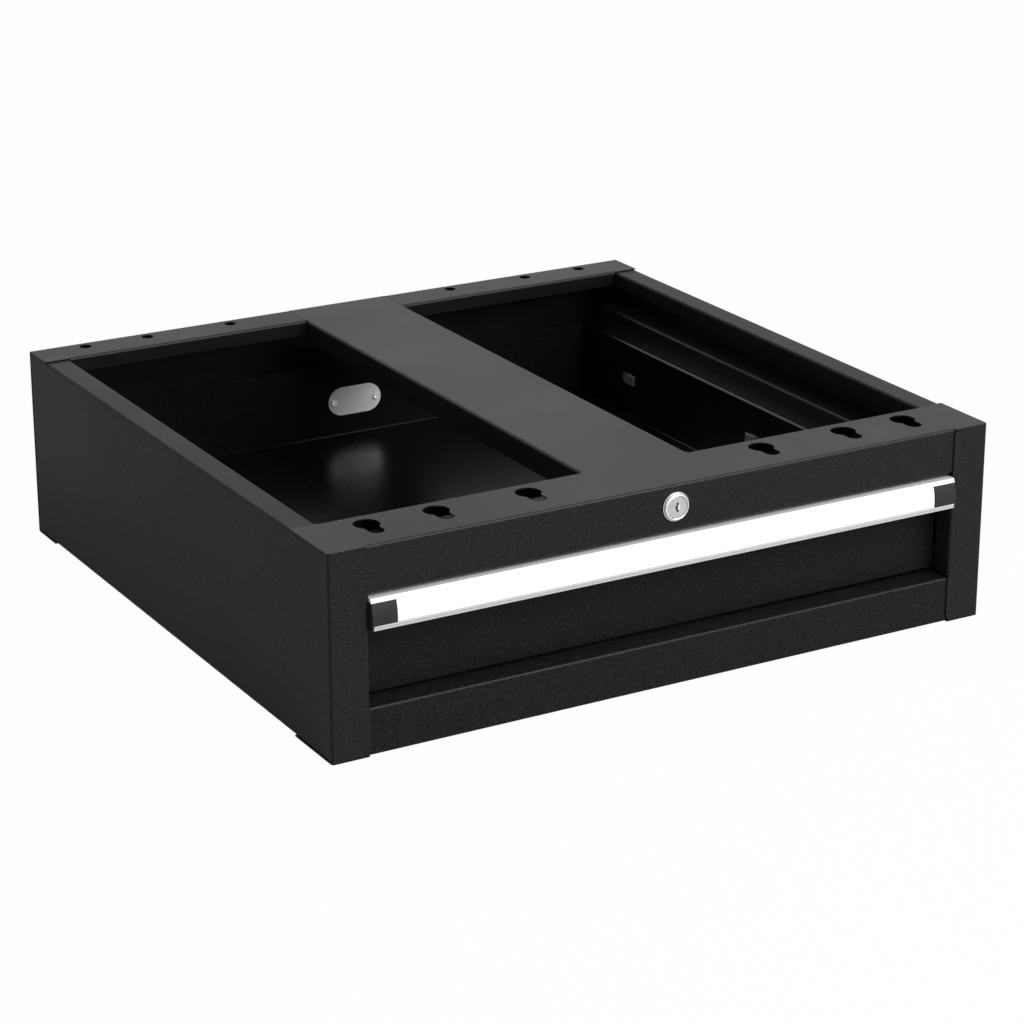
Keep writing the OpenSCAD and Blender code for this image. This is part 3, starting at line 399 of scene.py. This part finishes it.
def turned(name, nodes, finish, rings, closed_end=False):
    """A form round the lock's axis: each ring is (radius or function of the angle, depth)."""
    centre_x, centre_z = LOCK_CENTRE
    form = bmesh.new()
    made = []
    for radius, depth in rings:
        ring = []
        for k in range(TURN_STEPS):
            angle = 2 * math.pi * k / TURN_STEPS
            r = radius(angle) if callable(radius) else radius
            x, z = centre_x + r * math.cos(angle), centre_z + r * math.sin(angle)
            ring.append(form.verts.new((x * MM, at(depth), z * MM)))
        made.append(ring)
    for one, two in zip(made, made[1:]):
        join_rings(form, one, two)
    if closed_end:
        form.faces.new(made[-1])
        form.faces.new(made[0])
    else:
        join_rings(form, made[-1], made[0])
    show_form(form, name, nodes, finish, 0)


def make_sheets():
    # The sheets take lit and shaded copies of one powder coat: painted shade inside the box and on the
    # drawer's tray and back, painted light on the side panels and drawer front
    refined("front_frame", CASING_COAT)
    for node in ("back_panel", "left_runner_bracket", "right_runner_bracket"):
        refined(node, INNER_PAINTED_SHADE_COAT)
    refined("left_side_panel", SIDE_PAINTED_LIGHT_COAT)
    refined("right_side_panel", SIDE_PAINTED_LIGHT_COAT)
    refined("bottom_rail", RAIL_PAINTED_SHADE_COAT)
    refined("drawer_front", FRONT_PAINTED_LIGHT_COAT)
    refined("drawer_tray", TRAY_PAINTED_SHADE_COAT, edge=0)
    refined("drawer_back", BACK_PAINTED_SHADE_COAT, edge=0)


def make_runners():
    for side in ("left", "right"):
        for rail in ("outer", "middle", "inner"):
            refined(f"{side}_{rail}_rail", ZINC, edge=0.15)
        refined(f"{side}_rail_buffer", BUFFER, edge=0.3)


def arc(radius, low, high, steps=ARC_STEPS):
    """Points round the handle's centre at a radius, from one height to another."""
    centre_depth, centre_z = FACE_CENTRE
    points = []
    for k in range(steps + 1):
        z = low + (high - low) * k / steps
        points.append((centre_depth - math.sqrt(radius ** 2 - (z - centre_z) ** 2), z))
    return points


def grooved_arc(low, high, groove):
    """The face's arc with one fine square groove."""
    middle, width, depth = groove
    start, end = middle - width / 2, middle + width / 2
    return (
        arc(FACE_R, low, start, SHORT_STEPS)
        + arc(FACE_R - depth, start, end, 1)
        + arc(FACE_R, end, high, LIP_STEPS)
    )


def rounding(radius, low):
    """Points that round the face into the flat top or bottom, from the face outwards."""
    side = -1 if low else 1
    edge = LIP_BOTTOM if low else LIP_TOP
    z = edge - side * radius
    rise = (z - FACE_CENTRE[1]) * side
    depth = FACE_CENTRE[0] - math.sqrt((FACE_R - radius) ** 2 - rise ** 2)
    first = math.pi - math.asin(rise / (FACE_R - radius))
    points = []
    for k in range(ROUNDING_STEPS + 1):
        angle = first + (math.pi / 2 - first) * k / ROUNDING_STEPS
        points.append((depth + radius * math.cos(angle), z + side * radius * math.sin(angle)))
    return points


def make_handle():
    bottom = rounding(LOW_ROUND, True)[::-1]
    top = rounding(TOP_ROUND, False)
    lower = bottom + grooved_arc(bottom[-1][1] + JOIN_GAP, LABEL_BOTTOM, LOWER_GROOVE)
    upper = grooved_arc(LABEL_TOP, top[0][1] - JOIN_GAP, UPPER_GROOVE) + top
    web = [
        (FLANGE_BACK, LIP_TOP),
        (FLANGE_BACK, FLANGE_LOW),
        (FLANGE_FRONT, FLANGE_LOW),
        (FLANGE_FRONT, WEB_LOW),
    ]
    section = (
        lower + arc(CHANNEL_R, LABEL_BOTTOM, LABEL_TOP) + upper + web
        + arc(BACK_R, WEB_LOW, LIP_BOTTOM)
    )
    upper_end = upper + web + arc(BACK_R, WEB_LOW, LABEL_TOP, SHORT_STEPS)
    lower_end = lower + arc(BACK_R, LABEL_BOTTOM, LIP_BOTTOM, SHORT_STEPS)
    inner, plate = HANDLE_HALF - CAP_W, HANDLE_HALF - CAP_PLATE
    drawn_out("handle_look", ["handle_profile"], ALUMINIUM, [
        (section, -inner, inner),
        (upper_end, -HANDLE_HALF, -inner),
        (upper_end, inner, HANDLE_HALF),
        (lower_end, -plate + CAP_GAP, -inner),
        (lower_end, inner, plate - CAP_GAP),
    ], edge=0.08)


def make_trim():
    strip = HANDLE_HALF - CAP_W - CAP_GAP
    low, high = LABEL_BOTTOM + CAP_GAP, LABEL_TOP - CAP_GAP
    label = arc(CHANNEL_R + LABEL_THICK, low, high) + arc(CHANNEL_R, high, low)
    drawn_out("label_strip_look", ["label_strip"], LABEL, [(label, -strip, strip)], edge=0.1)
    block = arc(FACE_R, low, high) + arc(CAP_BACK_R, high, low)
    plate = arc(FACE_R, LIP_BOTTOM, high) + arc(CAP_PLATE_R, high, LIP_BOTTOM)
    inner, outer = HANDLE_HALF - CAP_W + CAP_GAP, HANDLE_HALF - CAP_PLATE
    for name, sign in (("left_end_cap", -1), ("right_end_cap", 1)):
        drawn_out(name + "_look", [name], CAP_PLASTIC, [
            (block, *sorted((sign * inner, sign * outer))),
            (plate, *sorted((sign * outer, sign * HANDLE_HALF))),
        ], edge=0.15)


def slot_outline(middle, grow=0.0):
    """The key slot's radius as a function of the angle: a narrow slot with a round middle."""
    half_w, half_h = SLOT_HALF_W + grow, SLOT_HALF_H + grow

    def radius(angle):
        sine, cosine = abs(math.sin(angle)), abs(math.cos(angle))
        side = half_w / cosine if cosine > TINY else half_h
        return max(middle + grow, min(side, half_h / max(sine, TINY)))

    return radius


def make_lock():
    """Housing with a turned rim, the ring round the plug, the plug and the lining of its slot."""
    bezel = [
        (9.4, HOUSING_BACK), (9.4, 1.3), (11.35, 1.2), (11.35, 0.6), (11.2, 0.3), (10.95, 0.22),
        (10.85, 0.5), (10.75, 0.5), (10.65, -0.3), (10.45, -0.9), (10.2, -1.4), (9.8, -1.8),
        (9.3, -2.05), (8.95, -2.1), (8.7, -1.95), (8.55, LOCK_FRONT), (8.45, 0.0),
        (8.45, HOUSING_BACK),
    ]
    turned("lock_housing_look", ["lock_housing"], CHROME, bezel)
    ring = [
        (8.3, HOUSING_BACK), (8.3, LOCK_FRONT + 0.1), (8.2, LOCK_FRONT),
        (6.52, LOCK_FRONT), (6.52, HOUSING_BACK),
    ]
    turned("lock_ring_look", ["lock_housing"], LOCK_FACE, ring)
    sunk = LOCK_FRONT + SLOT_SINK
    plug = [
        (PLUG_R, PLUG_BACK),
        (PLUG_R, LOCK_FRONT),
        (slot_outline(SLOT_WIDE, SLOT_CUT), LOCK_FRONT),
        (slot_outline(SLOT_NARROW, SLOT_CUT), sunk),
        (slot_outline(SLOT_NARROW, SLOT_CUT), SLOT_BACK),
    ]
    turned("lock_plug_look", ["lock_plug"], LOCK_FACE, plug, closed_end=True)
    lining = [
        (slot_outline(SLOT_WIDE, SLOT_WALL), LOCK_FRONT + 0.01),
        (slot_outline(SLOT_WIDE), LOCK_FRONT + 0.05),
        (slot_outline(SLOT_NARROW), sunk),
        (slot_outline(SLOT_NARROW), SLOT_WALL_BACK),
        (slot_outline(SLOT_NARROW, SLOT_WALL), SLOT_WALL_BACK),
        (slot_outline(SLOT_NARROW, SLOT_WALL), sunk),
    ]
    turned("lock_slot_look", ["lock_plug"], CHROME, lining)


def make_port():
    refined("port_cover", PORT_PLATE, edge=0.25, segments=3, scale=PORT_SCALE)
    refined("port_cover_screws", SCREW_ZINC)


def dress_nodes():
    """Gives every CAD node the look of its slot."""
    for node in frame["nodes"].values():
        for index, material in enumerate(node.data.materials):
            node.data.materials[index] = SLOT_LOOKS.get(material.name, material)


# Floor and light

def white_seen(tree, lit, white, camera_share, mirror_share):
    """A lit shader, mixed with plain white for what the camera and mirror images see of it."""
    nodes, links = tree.nodes, tree.links
    path = nodes.new("ShaderNodeLightPath")
    total = None
    for ray, share in (("Is Camera Ray", camera_share), ("Is Glossy Ray", mirror_share),
                       ("Is Transmission Ray", mirror_share)):
        part = nodes.new("ShaderNodeMath")
        part.operation = "MULTIPLY_ADD"
        part.inputs[1].default_value = share
        part.inputs[2].default_value = 0.0
        links.new(path.outputs[ray], part.inputs[0])
        if total:
            links.new(total, part.inputs[2])
        total = part.outputs["Value"]
    mix = nodes.new("ShaderNodeMixShader")
    links.new(total, mix.inputs["Fac"])
    links.new(lit, mix.inputs[1])
    links.new(white, mix.inputs[2])
    return mix.outputs["Shader"]


def make_floor():
    half = FLOOR_HALF
    mesh = bpy.data.meshes.new("floor")
    corners = [(-half, -half, 0), (half, -half, 0), (half, half, 0), (-half, half, 0)]
    mesh.from_pydata(corners, [], [(0, 1, 2, 3)])
    floor = bpy.data.objects.new("floor", mesh)
    scene.collection.objects.link(floor)
    material = bpy.data.materials.new("floor_white")
    material.use_nodes = True
    tree = material.node_tree
    shader = tree.nodes["Principled BSDF"]
    shader.inputs["Base Color"].default_value = (FLOOR_GREY, FLOOR_GREY, FLOOR_GREY, 1)
    shader.inputs["Roughness"].default_value = FLOOR_ROUGHNESS
    shader.inputs["Specular IOR Level"].default_value = 0.0
    white = tree.nodes.new("ShaderNodeEmission").outputs["Emission"]
    seen = white_seen(tree, shader.outputs["BSDF"], white, FLOOR_WHITE_SEEN, FLOOR_WHITE_MIRRORED)
    tree.links.new(seen, tree.nodes["Material Output"].inputs["Surface"])
    mesh.materials.append(material)


def make_world():
    world = bpy.data.worlds.new("studio")
    world.use_nodes = True
    tree = world.node_tree
    soft = tree.nodes["Background"]
    soft.inputs["Color"].default_value = (1, 1, 1, 1)
    soft.inputs["Strength"].default_value = WORLD_LEVEL
    plain = tree.nodes.new("ShaderNodeBackground")
    plain.inputs["Color"].default_value = (1, 1, 1, 1)
    plain.inputs["Strength"].default_value = 1.0
    lit, white = soft.outputs["Background"], plain.outputs["Background"]
    seen = white_seen(tree, lit, white, WORLD_WHITE_SEEN, WORLD_WHITE_MIRRORED)
    tree.links.new(seen, tree.nodes["World Output"].inputs["Surface"])
    scene.world = world


def make_lamp():
    lamp = bpy.data.lights.new("key", "AREA")
    lamp.shape = "RECTANGLE"
    lamp.size, lamp.size_y = KEY_SIZE
    lamp.energy = KEY_POWER
    holder = bpy.data.objects.new("key", lamp)
    holder.location = KEY_AT
    holder.rotation_mode = "QUATERNION"
    holder.rotation_quaternion = (Vector(KEY_AIM) - Vector(KEY_AT)).to_track_quat("-Z", "Y")
    scene.collection.objects.link(holder)


place_camera()
make_sheets()
make_runners()
make_handle()
make_trim()
make_lock()
make_port()
dress_nodes()
make_floor()
make_world()
make_lamp()
scene.view_settings.view_transform = "Standard"
